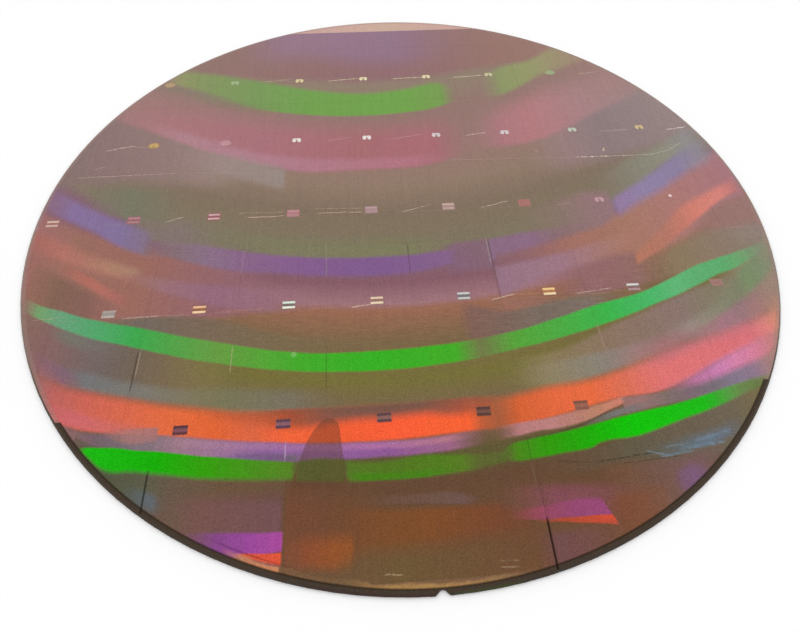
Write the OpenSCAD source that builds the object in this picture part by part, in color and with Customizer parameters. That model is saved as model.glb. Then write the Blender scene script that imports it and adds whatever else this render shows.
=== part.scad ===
// Round silicon wafer with a printed front face: a thin disc with a ground, rounded rim,
// one alignment notch, printed fields parted by streets, and a pair of bars on each field.
// Millimetres. The origin is the centre of the back face; +Z points out of the printed face;
// the notch is at -Y.

/* [Wafer] */
// Diameter of the wafer
wafer_d = 200; // [150:1:300]
// Thickness from the back face to the printed face
wafer_t = 0.725; // [0.65:0.005:1]

/* [Rim] */
// Slope of the two ground bevels, measured from the face
bevel_angle = 22; // [18:1:30]
// Radius of the round nose between the bevels
nose_r = 0.25; // [0.15:0.01:0.3]
// Width of the bare ring between the rim and the printed fields
ring_w = 1.3; // [1:0.1:4]

/* [Notch] */
// Depth of the notch's root, measured in from the rim
notch_depth = 1; // [0.9:0.05:1.5]
// Angle between the notch's two walls
notch_angle = 90; // [85:1:95]
// Radius of the notch's root
notch_root_r = 0.9; // [0.6:0.05:1]
// Radius where each wall turns into the rim
notch_shoulder_r = 0.6; // [0.3:0.05:0.9]

/* [Fields] */
// Width of one printed field, from street to street
field_w = 21.7; // [15:0.1:26]
// Height of one printed field, from street to street
field_h = 31.75; // [24:0.25:33]
// X of the street that runs nearest to the wafer's centre
field_x = 0.5; // [-5:0.1:5]
// Y of the street that runs nearest to the wafer's centre
field_y = -2; // [-5:0.1:5]
// Distance of the cross street below a field's upper street
cross_drop = 11.4; // [6:0.1:18]
// Width of the streets
street_w = 0.15; // [0.08:0.01:0.4]
// Height of the printed fields above the bare silicon
film_t = 0.01; // [0.005:0.005:0.05]

/* [Marks] */
// X of a mark's middle, measured from the street on its left
mark_x = 12.5; // [6:0.1:16]
// Y of a mark's middle, measured from the street below it
mark_y = 1.4; // [1.2:0.1:5]
// Length of a mark's two bars
bar_w = 3.3; // [1:0.1:4]
// Width of each bar
bar_h = 0.8; // [0.3:0.05:1]
// Clear space between the two bars
bar_gap = 0.7; // [0.3:0.05:1.5]
// Height of the bars above the printed face
bar_rise = 0.01; // [0.005:0.005:0.05]
// Least distance from a mark's middle to the printed fields' outline
mark_inset = 1.4; // [0.5:0.1:5]

/* [Hidden] */
$fn = 128;
wafer_r = wafer_d / 2;
bare_t = wafer_t - film_t;
mid_z = bare_t / 2;
sink = bare_t / 4;

// Where the nose runs into the bevels, and where the bevels run into the faces
nose_x = wafer_r - nose_r;
meet_x = nose_x + nose_r * sin(bevel_angle);
meet_z = nose_r * cos(bevel_angle);
bevel_h = mid_z - meet_z;
bevel_w = bevel_h / tan(bevel_angle);
flat_r = meet_x - bevel_w;
print_r = min(wafer_r - ring_w, flat_r);

// Notch: root circle, wall directions and the points where the walls leave the root
half_a = notch_angle / 2;
root_c = [0, -(wafer_r - notch_depth + notch_root_r)];
wall_d = [sin(half_a), -cos(half_a)];
wall_n = [cos(half_a), sin(half_a)];
wall_p = root_c + notch_root_r * wall_n;

// Shoulder: a circle that touches both a wall and the rim from inside
shoulder_p = wall_p + notch_shoulder_r * wall_n;
shoulder_b = shoulder_p * wall_d;
shoulder_k = shoulder_p * shoulder_p - pow(wafer_r - notch_shoulder_r, 2);
shoulder_s = -shoulder_b + sqrt(shoulder_b * shoulder_b - shoulder_k);
shoulder_c = shoulder_p + shoulder_s * wall_d;
shoulder_w = wall_p + shoulder_s * wall_d;
shoulder_rim = shoulder_c * wafer_r / (wafer_r - notch_shoulder_r);
clear_y = -wafer_r - 1;

// Whole rows of fields are printed; the last street above and below bounds them
rows_up = floor((print_r - field_y) / field_h);
rows_down = floor((print_r + field_y) / field_h);
print_top = field_y + rows_up * field_h;
print_low = field_y - rows_down * field_h;
cols = ceil(wafer_r / field_w) + 1;

// Half section of the bare disc: flat faces, two bevels and the round nose
module disc_section() {
  polygon([
    [0, 0],
    [flat_r, 0],
    [meet_x, bevel_h],
    [meet_x, bare_t - bevel_h],
    [flat_r, bare_t],
    [0, bare_t]
  ]);
  intersection() {
    translate([nose_x, mid_z])
      circle(nose_r);
    translate([meet_x, 0])
      square([nose_r, bare_t]);
  }
}

// Outline of the notch, with its round root and shoulders
module notch_outline() {
  translate(root_c)
    circle(notch_root_r);
  difference() {
    polygon([
      [wall_p.x, wall_p.y],
      [shoulder_w.x, shoulder_w.y],
      [shoulder_c.x, shoulder_c.y],
      [shoulder_rim.x, shoulder_rim.y],
      [shoulder_rim.x, clear_y],
      [-shoulder_rim.x, clear_y],
      [-shoulder_rim.x, shoulder_rim.y],
      [-shoulder_c.x, shoulder_c.y],
      [-shoulder_w.x, shoulder_w.y],
      [-wall_p.x, wall_p.y]
    ]);
    for (side = [-1, 1])
      translate([side * shoulder_c.x, shoulder_c.y])
        circle(notch_shoulder_r);
  }
}

// Half section of the room that the notch's bevel takes, measured from the root's axis
module bevel_section() {
  polygon([
    [0, 0],
    [notch_root_r, 0],
    [notch_root_r + bevel_w, bevel_h],
    [0, bevel_h]
  ]);
}

// Bevel along the notch's upper edge: part of a cone round the root and a slope along each wall
module notch_bevel() {
  translate([root_c.x, root_c.y, bare_t - bevel_h]) {
    rotate([0, 0, half_a])
      rotate_extrude(angle = 180 - notch_angle)
        bevel_section();
    for (side = [0, 1])
      mirror([side, 0, 0])
        rotate([0, 0, half_a - 90])
          rotate([90, 0, 90])
            linear_extrude(shoulder_s + 2 * notch_shoulder_r)
              bevel_section();
  }
}

module disc() {
  difference() {
    rotate_extrude()
      disc_section();
    translate([0, 0, -1])
      linear_extrude(bare_t + 2)
        notch_outline();
    notch_bevel();
    translate([0, 0, bare_t])
      mirror([0, 0, 1])
        notch_bevel();
  }
}

// Streets of the field grid, with one cross street in each row
module streets() {
  for (i = [-cols : cols])
    translate([field_x + i * field_w - street_w / 2, -wafer_r])
      square([street_w, wafer_d]);
  for (j = [-rows_down : rows_up])
    translate([-wafer_r, field_y + j * field_h - street_w / 2])
      square([wafer_d, street_w]);
  for (j = [-rows_down + 1 : rows_up])
    translate([-wafer_r, field_y + j * field_h - cross_drop - street_w / 2])
      square([wafer_d, street_w]);
}

// Printed fields, trimmed to the bare ring
module fields() {
  translate([0, 0, bare_t - sink])
    linear_extrude(sink + film_t)
      difference() {
        intersection() {
          circle(print_r);
          translate([-wafer_r, print_low])
            square([wafer_d, print_top - print_low]);
        }
        streets();
      }
}

// One mark: two bars, one above the other
module mark() {
  for (side = [-1, 1])
    translate([0, side * (bar_gap + bar_h) / 2, bare_t + (film_t + bar_rise - sink) / 2])
      cube([bar_w, bar_h, film_t + bar_rise + sink], center = true);
}

// A mark above the lower street of every field that has room for it
module marks() {
  for (i = [-cols : cols])
    for (j = [-rows_down : rows_up - 1])
      let (x = field_x + i * field_w + mark_x, y = field_y + j * field_h + mark_y)
        if (norm([x, y]) < print_r - mark_inset)
          translate([x, y, 0])
            mark();
}

module wafer() {
  color([0.52, 0.42, 0.36])
    union() {
      disc();
      fields();
      intersection() {
        marks();
        cylinder(h = wafer_t + bar_rise, r = print_r);
      }
    }
}

wafer();
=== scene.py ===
import math

import bpy
from mathutils import Matrix, Vector

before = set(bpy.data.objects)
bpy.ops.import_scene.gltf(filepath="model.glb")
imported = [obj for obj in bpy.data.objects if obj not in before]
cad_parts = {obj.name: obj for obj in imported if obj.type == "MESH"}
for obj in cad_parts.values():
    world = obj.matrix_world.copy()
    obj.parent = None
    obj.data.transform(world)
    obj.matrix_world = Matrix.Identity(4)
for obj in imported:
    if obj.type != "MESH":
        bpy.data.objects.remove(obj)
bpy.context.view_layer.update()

MM = 0.001

# Sizes of the wafer and its printed grid, in millimetres, as in the part's source
WAFER_R = 100.0
WAFER_T = 0.725
RING_W = 1.3
FIELD_W = 21.7
FIELD_H = 31.75
FIELD_X = 0.5
FIELD_Y = -2.0
STREET_W = 0.15
ROWS = 3
MARK_X = 12.5
MARK_Y = 1.4
BAR_W = 3.3
BAR_H = 0.8
BAR_GAP = 0.7
PRINT_R = WAFER_R - RING_W
PRINT_TOP = FIELD_Y + ROWS * FIELD_H
PRINT_LOW = FIELD_Y - ROWS * FIELD_H

# Painted marks: the lines on the bars, the pad under those of one row, and the two spots that the
# upper rows have instead, with their place, their half sizes and the bridge that joins them
PAINT_H = 0.65
PAD_ROW = 0
PAD_W = 3.7
PAD_H = 3.0
SPOT_OUT = 0.75
SPOT_W = 0.6
SPOT_H = 1.0
BRIDGE = 0.6 * SPOT_H

# Shape of the blob under some spots, and the squared distances over which blob and spots fade
BLOB_X = 0.3
BLOB_Y = 0.5
BLOB_FADE = (1.2, 0.5)
SPOT_FADE = (1.3, 0.6)

# Columns of fields that the marks' colours are laid over
COLUMNS = 12

# Softness of a crisp painted edge, and the shares of its width over which a thin line fades
EDGE = 0.2
LINE_FADE = (0.7, 0.3)

# A face is flat when its normal's z is past this, and printed when it lies no deeper than this
FLAT = 0.99
PRINT_DEPTH = 0.1

# Material slots of the wafer
FACE, RIM, BACK = range(3)

# The floor, in metres, lies this many millimetres under the wafer, so that they don't flicker
FLOOR_SIZE = 6.0
FLOOR_GAP = 0.05
FLOOR_COLOR = (0.98, 0.98, 0.98, 1.0)
WORLD_LIGHT = 1.02

# Camera, fitted to the photograph's outline and marks, and its near clipping in metres
SENSOR = 36.0
LENS = 25.96
VIEW_AZIMUTH = -4.916
VIEW_ELEVATION = 54.63
VIEW_ROLL = 0.912
VIEW_DISTANCE = 140.354
VIEW_TARGET = (-3.334, -37.502, WAFER_T)
CLIP_START = 0.005

# The bands of colour, painted diffraction colours that stand in for light the printed grid throws back, lie
# on arcs about this point. A level is the height at which an arc crosses the line x = ARC_X, and levels run
# from -SPAN to SPAN
ARC_X = -3.0
ARC_Y = 130.0
SPAN = 110.0

# Height of the waves in the edges of the bands, in the painted glint and fleck strokes and in the glow at
# the rim
WAVES = 0.6
SHAKE = 0.6
GLOW_WAVES = 2.4

# Scales of the noise, per millimetre, along x and y where the two differ
WAVE_SCALE = 0.1
PATCH_SCALE = 0.12
SHAKE_SCALE = 0.5
BREAK_SCALE = 1.1
BLOTCH_SCALE = 0.9
FINE_SCALE = 2.8
SMUDGE_SCALE = 0.8
CLOUD_SCALE = 0.05
GRIT_SCALE = 3.0
WOBBLE_SCALE = (0.14, 0.3, 1.0)
THREAD_SCALE = (1.6, 0.05, 1.0)
HATCH_SCALE = (0.3, 2.6, 1.0)

# Brightness of the face, and how much each noise changes it. The fine grain grows from the
# upper to the lower part, between two levels
GRAIN_MIDDLE = 0.8
GRAIN_UPPER = 0.45
GRAIN_LOWER = 0.72
GRAIN_FROM = 6.0
GRAIN_TO = -16.0
BLOTCH_GRAIN = 0.26
THREAD_GRAIN = 0.12
HATCH_GRAIN = 0.45

# Roughness of the face, and how far its blotches raise it
FACE_ROUGH = 0.26
BLOTCH_ROUGH = 0.1

# Hatching: its levels and their softness, and its stretch
HATCH_LEVELS = (-46.0, -37.0)
HATCH_SOFT = 4.0
HATCH_STRETCH = (-62.0, 66.0, 24.0)

# Strength of the streets between columns and between rows, the heights between which the latter
# appear, and the noise at which both do
COLUMN_STRENGTH = 0.16
ROW_STRENGTH = 0.2
ROW_FADE = (PRINT_LOW / 2 + 1, PRINT_LOW / 2 + 2)
PATCH_FADE = (0.35, 0.7)

# Fade at the ends of the painted glint and fleck strokes and of seams, the noise at which those strokes
# break and what is left there, and the shares of its squared size over which a painted glint speck fades
GLINT_AND_FLECK_FADE = 1.6
SEAM_FADE = 2.0
BREAK_FADE = (0.36, 0.54)
BREAK_LEAST = 0.3
GLINT_SPECK_FADE = (1.4, 0.5)

# Half the width over which the bare silicon above the print changes
TAN_REACH = 40.0

# Below this height the bare ring round the print is in shade, with a dark border; elsewhere it
# covers the colours only in part
RING_CUT = -60.5
RING_COVER = 0.4
BORDER_W = 0.4
BORDER_STRENGTH = 0.6

# Hairline inside that ring, at lower left. A stretch is from x, to x and the ends' softness
HAIR_R = PRINT_R - 1.5
HAIR_W = 0.3
HAIR_STRETCH = (-42.0, -29.0, 6.0)
HAIR_STRENGTH = 0.35

# Tints of the rim beside the notch: from x, to x and colour. They grow between two heights
RIM_TINTS = [(-24, -1, "3c2824"), (2, 14, "3a4020")]
TINT_GROW = (-88.0, -94.0)
TINT_FADE = 6.0
TINT_STRENGTH = 0.7

# Tan glow at the bottom, along the ring: the heights between which it grows, its radii and their
# softness, and then x, colour and strength
GLOW_GROW = (-72.0, -84.0)
GLOW_RADII = (PRINT_R + 0.2, PRINT_R + 1.4, 0.6)
GLOW = [
    (-41, "b87858", 0), (-37, "c88662", 0.8), (-30.2, "d08a62", 0.9), (-29.6, "86684a", 0.3),
    (-18, "86684a", 0.3), (-10, "a98252", 0.9), (2, "a98252", 0.9), (10, "9a7850", 0.7), (14, "8c6a4e", 0.5),
    (19, "7a5c44", 0),
]

# Colours from level to level of the face: painted diffraction colours, with a painted reflection that leaves
# the upper part paler and the lower part darker
BASE = [
    (96, "957476"), (66, "916f6f"), (58, "8e7d6b"), (42, "92746c"), (24, "987670"), (9, "917a6a"),
    (-2, "82705f"), (-16, "807660"), (-20, "83616f"), (-27, "865d67"), (-33.5, "9e747a"), (-35.5, "9a6a55"),
    (-45, "7c664a"), (-55, "766f3b"), (-62, "7b664c"), (-68, "7c5a48"), (-73, "605836"), (-79, "664a37"),
    (-96, "704f36"),
]

# Bands of painted diffraction colour laid over it, with a painted shadow wedge among them: name, softness of
# the upper and of the lower edge, the upper and lower edge at a few x, and the colour at a few x, with its
# strength where that isn't 1
BANDS = [
    ("brown_upper", 1, 6, [(-80, 105, 64), (-50, 105, 65), (0, 105, 62), (50, 105, 70), (80, 105, 64)],
     [(-80, "8d6e66", 0.9), (-45, "906d68"), (0, "8f686c"), (45, "946f64"), (80, "98786c", 0.9)]),
    ("violet_haze", 1, 14, [(-52, 105, 77), (-20, 105, 76), (30, 105, 80)],
     [(-52, "937284", 0), (-36, "937286", 0.9), (4, "906e84"), (30, "916e78", 0)]),
    ("mauve_left", 6, 8, [(-98, 58, 14), (-75, 44, 15), (-52, 34, 12), (-44, 26, 11)],
     [(-98, "866e6c", 0.9), (-75, "8f7673"), (-54, "978179"), (-44, "938676", 0)]),
    ("mauve_right", 6, 8, [(40, 30, 12), (56, 38, 15), (74, 50, 19), (96, 56, 28)],
     [(40, "9a7f7c", 0), (52, "977c7b"), (66, "8c797a"), (96, "958280")]),
    ("rose", 14, 2.5, [(-95, 60, 50), (-75, 51, 37.5), (-55, 44.5, 27.5), (-30, 38, 17.3), (-10, 36, 16.5),
      (8, 36, 17.2), (23, 39, 23)],
     [(-95, "a17876", 0.5), (-75, "a67476"), (-40, "a87078"), (-12, "a66c70"), (12, "a86b72"),
      (23, "9c6d6e", 0)]),
    ("rose_edge", 4, 2.5, [(-80, 44, 41), (-62, 35.5, 30), (-34, 23.5, 18), (-10, 21, 16.5),
      (13, 22.5, 18.5), (19, 24, 21)],
     [(-80, "b0848a", 0), (-66, "af828a", 0.9), (-38, "af7e8b", 0.9), (5, "b27682", 0.9),
      (19, "a47177", 0)]),
    ("rose_right", 12, 3, [(22, 34, 25), (34, 42, 24.5), (48, 50, 28.5), (64, 56, 38), (86, 68, 52)],
     [(22, "9a7474", 0), (34, "ac777c"), (44, "b37a7d"), (62, "a67f81"), (86, "a58280", 0.5)]),
    ("upper_green", 3.2, 1.6, [(-76, 72.4, 66), (-62, 69, 56.8), (-44, 63.4, 48), (-26, 57.2, 43.6),
      (-10, 54.4, 42.3), (4, 55.8, 43.2), (14, 58.8, 45.2), (22, 56.5, 49)],
     [(-76, "98986c", 0.3), (-70, "8e965f", 0.85), (-64, "82925a", 0.95), (-44, "779656"), (-26, "6f9e4a"),
      (4, "6fa148"), (17, "76994e"), (22, "868a5e", 0)]),
    ("green_fade_left", 2.5, 3, [(-80, 66, 60), (-70, 62, 57.6), (-60, 57.6, 51.8), (-44, 49.4, 46.2),
      (-34, 46, 44.4)],
     [(-80, "857868", 0), (-72, "857868", 0.8), (-61, "867a68", 0.8), (-46, "857c62", 0.5),
      (-34, "80804e", 0)]),
    ("olive_upper_right", 3, 3, [(30, 58, 49), (38, 66, 51.5), (50, 70.6, 60), (62, 79.4, 66), (70, 82, 70)],
     [(30, "89816a", 0), (38, "8b9361"), (48, "919562"), (56, "978f68"), (62, "9a8c6c", 0.9),
      (70, "a08a70", 0.6)]),
    ("grey_blue", 5, 4, [(-68, 30, 24), (-52, 25.5, 17), (-44, 22.5, 13.5), (-32.2, 17.4, 9)],
     [(-68, "9b807c", 0), (-52, "9d8885", 0.8), (-34, "988b84", 0.9), (-32.2, "9a7f74", 0)]),
    ("olive_above_violet", 7, 2, [(-78, 5, -3), (-66, 0.5, -9.2), (-50, -5.5, -13.5), (-30, -11, -17.5),
      (-6, -12.6, -19), (8, -12.4, -17.6), (13, -11, -15.4)],
     [(-78, "80776a", 0), (-70, "82766a", 0.8), (-60, "83746f", 0.9), (-50, "7f7862", 0.8),
      (-34, "7d7c5e", 0.8), (2, "7d7d5c", 0.8), (13, "807660", 0)]),
    ("mauve_gap", 2, 4, [(9, -15.6, -24), (14, -14.4, -24), (22.4, -13.4, -24)],
     [(9, "846478", 0), (12.5, "846478", 0.9), (20, "856672", 0.9), (21.6, "866878", 0.9),
      (22.4, "866878", 0)]),
    ("olive_left", 6, 4, [(-90, 14, 6), (-75, 12, 0), (-60, 9, -3)],
     [(-90, "7e746b", 0), (-76, "777763"), (-68, "7c7562", 0.8), (-60, "80755f", 0)]),
    ("olive_right", 4, 2, [(56, 8, -2), (68, 15, 4), (80, 21, 13.5), (92, 29, 21), (98, 32, 26)],
     [(56, "86796f", 0), (68, "858070"), (82, "8d8a7a"), (91, "8f8c8c", 0.9), (98, "908c90", 0)]),
    ("mauve_middle_right", 4, 3, [(30, -4, -17), (52, 2.5, -14), (60, 2, -11)],
     [(30, "8a776a", 0), (53, "927475"), (59, "937478"), (60, "937478", 0)]),
    ("rust_left", 4, 3, [(-99, 3, -29), (-80, -7, -34), (-60, -14.5, -35), (-34, -21.5, -34)],
     [(-99, "a06a66", 0.8), (-88, "9a6c60"), (-68, "9a6a5f"), (-46, "92666d"), (-34, "92666f", 0)]),
    ("coral_left_upper", 4, 3, [(-99, -3, -9), (-85, -11.5, -16.5), (-67, -20.5, -23)],
     [(-99, "a76960", 0.8), (-90, "b07065"), (-74, "af7e6b", 0.9), (-67, "a07870", 0)]),
    ("tan_left", 2.5, 2, [(-84, -12.5, -15.5), (-74, -16.6, -19.6), (-67.5, -19, -21)],
     [(-84, "a87a66", 0), (-76, "ac826a", 0.8), (-70, "a8826e", 0.8), (-67.5, "a07a70", 0)]),
    ("brown_left", 3, 3, [(-96, -14, -27), (-88, -20, -31), (-80, -25, -34), (-70, -31.5, -35)],
     [(-96, "8e6858", 0.5), (-88, "836354"), (-80, "866158"), (-70, "926660", 0)]),
    ("coral_left_lower", 2, 1.6, [(-90, -14.5, -17.5), (-80, -20.8, -24), (-75, -24.6, -27.6),
      (-69, -28.2, -31)],
     [(-90, "a86c60", 0), (-84, "b06c5e", 0.8), (-78, "b26e62"), (-72, "a86a62", 0.9), (-69, "9c665f", 0)]),
    ("lavender_left", 2.5, 2.5, [(-72, -19.5, -22), (-57, -23.3, -28.3), (-41, -26.5, -33.3),
      (-24, -28, -34)],
     [(-72, "a07870", 0), (-62, "9a7076"), (-50, "946a7b"), (-36, "976d79"), (-24, "96707a", 0)]),
    ("violet_left", 3, 2.5, [(-99, 13.5, 5), (-85, 3.6, -3.6), (-74, -2.6, -11.2), (-66.5, -6.8, -14.6)],
     [(-99, "8a6c86", 0.6), (-91, "866f99"), (-76, "837198"), (-69.5, "84728a", 0.9), (-66.5, "836e74", 0)]),
    ("violet_middle", 1.6, 2.2, [(-69, -8.6, -13.4), (-60, -9.8, -15.6), (-48, -12.6, -19.8),
      (-34, -16, -21.9), (-14, -18.1, -24.3), (1, -18, -24), (13.5, -16.6, -21)],
     [(-69, "846f78", 0.2), (-60, "867078", 0.9), (-52, "8a7086"), (-44, "8a6787"), (-28, "855f8d"),
      (-8, "805c8d"), (11, "856388"), (13.5, "84647a", 0)]),
    ("violet_piece", 2, 2.5, [(21.8, -13.8, -21), (28, -12.7, -20), (46, -10, -12.5)],
     [(21.8, "866878", 0), (22.4, "8a6b83"), (34, "8d6c85", 0.9), (46, "8f7074", 0)]),
    ("rust_right", 3, 4, [(22.6, -19.3, -23.5), (32, -17.6, -22), (46, -13.4, -23), (54, -10.8, -22.5),
      (60, -6.4, -22), (74, 4, -18), (90, 14, -6), (99, 19, -3)],
     [(22.6, "8c646c", 0), (24, "8c646a", 0.8), (32, "92686a"), (44, "a27064"), (62, "a47766"),
      (78, "ab7772"), (99, "a4737a")]),
    ("violet_right", 3, 4.4, [(58.6, -1.6, -7.8), (70, 6, -0.9), (76, 10.2, 2.6), (82, 15, 6.9),
      (99, 27, 17)],
     [(58.6, "917090", 0), (61, "947ba0"), (72, "8f80a2"), (84, "8b7e9d"), (93, "918a96", 0.8),
      (99, "958c90", 0)]),
    ("mauve_low_right", 3, 2, [(34, -27, -34), (52, -22, -33), (68, -20, -29)],
     [(34, "8d6468", 0), (46, "936869"), (58, "916a67", 0.9), (68, "8b7260", 0)]),
    ("lavender_right", 2.5, 3, [(21.8, -23.6, -33.5), (33, -21.6, -28.5), (47, -18.2, -23.8),
      (68, -10, -14)],
     [(21.8, "8c666f", 0), (22.6, "967383"), (40, "9e7884"), (55, "a67a70", 0.8), (68, "b57b6a", 0)]),
    ("mauve_far_right", 3, 6, [(76, -15, -24), (86, -7, -20), (99, -1, -20)],
     [(76, "98726c", 0), (86, "98726c"), (99, "98746e")]),
    ("olive_far_right", 4, 2, [(62, -24, -31), (76, -17, -27.5), (98, -12, -20)],
     [(62, "8a7262", 0), (70, "8a775c"), (84, "8c7868"), (98, "89857a", 0.6)]),
    ("coral_right", 3, 1.4, [(59.6, -22, -25.4), (70, -13.2, -18.6), (80, -4.2, -11), (90, 1.2, -3.6),
      (99, 6, 1.5)],
     [(59.6, "b87760", 0), (60.4, "b67860", 0.9), (70, "b37666"), (76, "be7868"), (82, "cf7e6e"),
      (92, "d6837a"), (97, "cc7a70", 0.5), (99, "b87870", 0)]),
    ("grey_left", 2, 2, [(-80, -33.8, -36), (-64, -34, -38.5), (-48, -35.5, -43.5), (-30, -41.5, -47),
      (0, -44, -47.5)],
     [(-80, "7a6a62", 0), (-66, "73685f"), (-52, "7a6859", 0.9), (-30, "7b6b50", 0.7), (0, "7b664a", 0)]),
    ("grey_right", 2.5, 2, [(11, -34, -45), (22, -37.5, -45), (38, -34.8, -41), (53, -33.5, -36)],
     [(11, "80605a", 0), (14, "80605a", 0.8), (30, "7a6b60"), (44, "7d6f65"), (53, "7f7066", 0)]),
    ("rust_patch", 1.5, 2, [(18, -34, -38), (36, -33.2, -35.5)],
     [(18, "8a6258", 0), (23, "9a6d5e", 0.9), (30, "966c60", 0.9), (36, "8c6a62", 0)]),
    ("grey_violet_left", 3, 3, [(-97, -27, -40), (-88, -31, -46), (-78, -36, -51), (-64, -41, -55),
      (-38, -50, -59)],
     [(-97, "8a6860", 0.8), (-86, "866462"), (-74, "746664"), (-66, "716358", 0.95), (-58, "7a6852", 0.9),
      (-48, "80744c", 0.6), (-38, "757248", 0)]),
    ("blue_grey_left", 2.5, 2, [(-82, -46, -51), (-68, -51, -54.8), (-40, -56, -60)],
     [(-82, "77707a", 0), (-75, "757677", 0.9), (-62, "7d7a72", 0.9), (-50, "817b64", 0.7),
      (-40, "757350", 0)]),
    ("wine_left", 2, 1.5, [(-90, -40.5, -46), (-75, -50.5, -53.5)],
     [(-90, "8c6268", 0), (-85, "8a6470", 0.8), (-80, "806274", 0.8), (-75, "8a6468", 0)]),
    ("tan_right", 2, 3, [(18, -52, -59.5), (32, -50, -58.5), (48, -43.5, -54.5), (64, -37, -48.5),
      (88, -28, -34)],
     [(18, "7d7648", 0), (30, "897a57"), (46, "8b7462"), (66, "8a746d"), (78, "86806e", 0.7),
      (88, "887c6c", 0)]),
    ("pale_tan_right", 2, 2, [(22, -53.8, -58.5), (36, -52, -57.8), (48, -49.8, -54.8), (60, -46.5, -50)],
     [(22, "8c8060", 0), (30, "8e8266", 0.9), (42, "8a8276"), (52, "997c7b", 0.8), (60, "98787c", 0)]),
    ("rim_right", 3, 4, [(76, -33, -38), (88, -25, -41), (99, -17, -42)],
     [(76, "8b8070", 0), (88, "93836f"), (99, "9c8474")]),
    ("olive_streak_right", 4, 4, [(58, -46.5, -49), (70, -42.3, -46), (82, -32.4, -39.5), (88, -25.8, -34.5),
      (99, -17, -25)],
     [(58, "947c78", 0), (66, "988f84", 0.9), (76, "86846f"), (82, "7f8068"), (87, "7a8b66"),
      (92, "7c8a6c", 0.9), (99, "8a8874", 0.5)]),
    ("mauve_streak_right", 2.5, 2, [(64, -48.6, -50), (70, -45.6, -48), (75, -42.6, -47), (80, -39.4, -45.5),
      (86, -35.6, -42.5), (94, -30, -37)],
     [(64, "9a7c80", 0), (70, "a07c80", 0.8), (75, "a07881"), (80, "947579"), (86, "9c7876", 0.9),
      (94, "a08476", 0.4)]),
    ("grey_green_under", 1.5, 3, [(-88, -34.4, -37), (-78, -38.4, -42), (-66, -42.2, -45)],
     [(-88, "74786c", 0), (-82, "707a6c", 0.7), (-75, "74706a", 0.6), (-66, "766a5e", 0)]),
    ("middle_green", 0.8, 0.9, [(-95, -26, -29.4), (-91, -28.6, -32.2), (-85, -30.8, -35.4),
      (-80, -32.8, -37.7), (-66, -36.9, -42.4), (-44, -42.9, -48.5), (-30, -46.1, -51), (-10, -47.1, -52.3),
      (9.5, -46, -51.2), (23, -43.9, -48.8), (45, -37.5, -43.4), (60, -33.3, -38), (66, -30.7, -35.8),
      (73, -27.2, -32.8), (79, -25, -29.9), (85.5, -23.2, -27.8), (92, -21, -24), (98, -18.4, -20)],
     [(-95, "7f936c", 0.1), (-92.5, "7f986c", 0.6), (-91, "73a36c", 0.9), (-85, "689f7a"), (-76, "55a46c"),
      (-66, "3fa64e"), (-46, "689a44"), (-28, "46a92e"), (-10, "38ae27"), (9, "45aa2a"), (15, "6e804b", 0.7),
      (23, "58a23d"), (48, "3eb24c"), (60, "4cb568"), (67, "60b476"), (73, "5fac70"), (82, "5ea86c"),
      (87, "6ca66e", 0.95), (91, "749a70", 0.8), (98, "868a7c", 0)]),
    ("rim_low_right", 3, 3, [(72, -55, -61.5), (80, -50, -60), (88, -42, -52), (95, -34, -44)],
     [(72, "85706c", 0), (78, "97787a", 0.9), (82, "a87c78"), (88, "b0866f", 0.9), (95, "a08674", 0.8)]),
    ("grey_green_left", 3, 2, [(-54, -53.5, -58), (-42, -55, -60.6), (-29, -56.2, -61.6),
      (-16, -57.2, -61.8)],
     [(-54, "80785c", 0), (-43, "79775a", 0.9), (-29, "7a7262", 0.9), (-16, "766a50", 0)]),
    ("pink_left", 6, 4, [(-94, -38, -48), (-84, -49, -58), (-74, -54.5, -62)],
     [(-94, "94686a", 0), (-88, "9a6a6a", 0.5), (-82, "b86866", 0.8), (-74, "c8675a", 0)]),
    ("orange", 3, 1.2, [(-90, -44, -50), (-84, -49.6, -57), (-80, -52, -60.4), (-75, -53.4, -62.2),
      (-70, -54.8, -63.4), (-54, -58.6, -65.4), (-36, -61.3, -68), (-10, -61.8, -69.4), (8, -61.6, -68.6),
      (19, -61, -68), (27, -59.5, -66.6), (40, -57.7, -63.6), (55, -53.2, -61.4), (71, -48, -54.6),
      (97, -39, -42.5)],
     [(-90, "9c6c6a", 0), (-86, "a66a68", 0.2), (-81, "c46660", 0.75), (-74, "cc6658"), (-54, "e26c40"),
      (-45, "e26638"), (-37, "da6744"), (-30, "f0663c"), (-18, "ee5f37"), (-6, "f9603a"), (9.5, "f66436"),
      (12.5, "c4603a", 0.85), (16, "b25e3a", 0.75), (21, "d46338"), (30, "e46a42"), (38, "e66c43"),
      (46, "da7058"), (55, "de7472"), (80, "d6727a"), (85, "da827c"), (88, "d68a70", 0.9),
      (92, "c08874", 0.6), (97, "b08674", 0.2)]),
    ("pink_glow", 5, 3, [(46, -53, -58), (64, -46.5, -52), (80, -41.5, -47), (97, -35, -40)],
     [(46, "c07868", 0), (58, "b8707a", 0.6), (66, "b07680", 0.4), (80, "a87880", 0.3), (90, "c08474", 0.4),
      (97, "b08074", 0.3)]),
    ("orange_shade", 1.2, 3.2, [(-50, -59.8, -61.6), (-38, -60.8, -63.6), (-29, -60.8, -65.2),
      (-18, -61, -64.3), (-9, -61, -64.1), (-1, -60.9, -63.7), (8, -60.6, -64.5), (19, -61, -63)],
     [(-50, "b05c3c", 0), (-44, "b05a3a", 0.4), (-37, "ac583a", 0.6), (-29, "9c5039", 0.9),
      (-20, "78564a", 0.92), (-9, "70564a", 0.95), (0, "76564a", 0.92), (8, "965442", 0.9),
      (14, "9a5640", 0.6), (19, "b06040", 0)]),
    ("coral_pink_left", 2, 1, [(-83, -55, -59), (-70, -60.3, -63), (-56, -63, -65)],
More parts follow.
